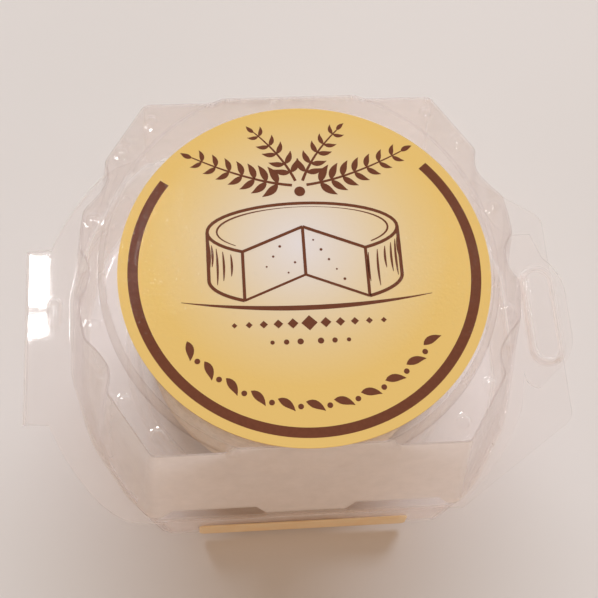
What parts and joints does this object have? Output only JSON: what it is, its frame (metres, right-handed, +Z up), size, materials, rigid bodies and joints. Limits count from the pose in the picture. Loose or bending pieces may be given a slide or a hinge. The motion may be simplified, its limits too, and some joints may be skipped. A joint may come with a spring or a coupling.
{
  "type": "small round goat's cheese in a clear hinged clamshell pack",
  "caption": "Small round goat's cheese in a clear plastic clamshell with a raised round lid, living hinge, closing tab, vents and a round label on top.",
  "frame": {"origin": "on the table, under the middle of the tray's flat floor and on the axis of the lid's round top", "axes": "+Z up, +X from the living hinge to the closing tab, -Y the front wall with the narrow strip label"},
  "size_m": [0.0982, 0.07, 0.0397],
  "materials": {
    "clear_sheet": "clear glossy formed sheet",
    "rind": "pale ivory wrinkled rind",
    "label_paper": "varnished golden label",
    "strip_paper": "amber paper strip"
  },
  "bodies": {
    "tray": {"tray": "clear_sheet", "cheese": "rind", "strip": "strip_paper"},
    "lid": {"lid": "clear_sheet", "label": "label_paper"}
  },
  "joints": [
    {"name": "lid_hinge", "type": "hinge", "parent": "tray", "child": "lid", "pos_m": [-0.04765, 0, 0.01165], "axis": [0, -1, 0], "range_deg": [0, 134]}
  ]
}
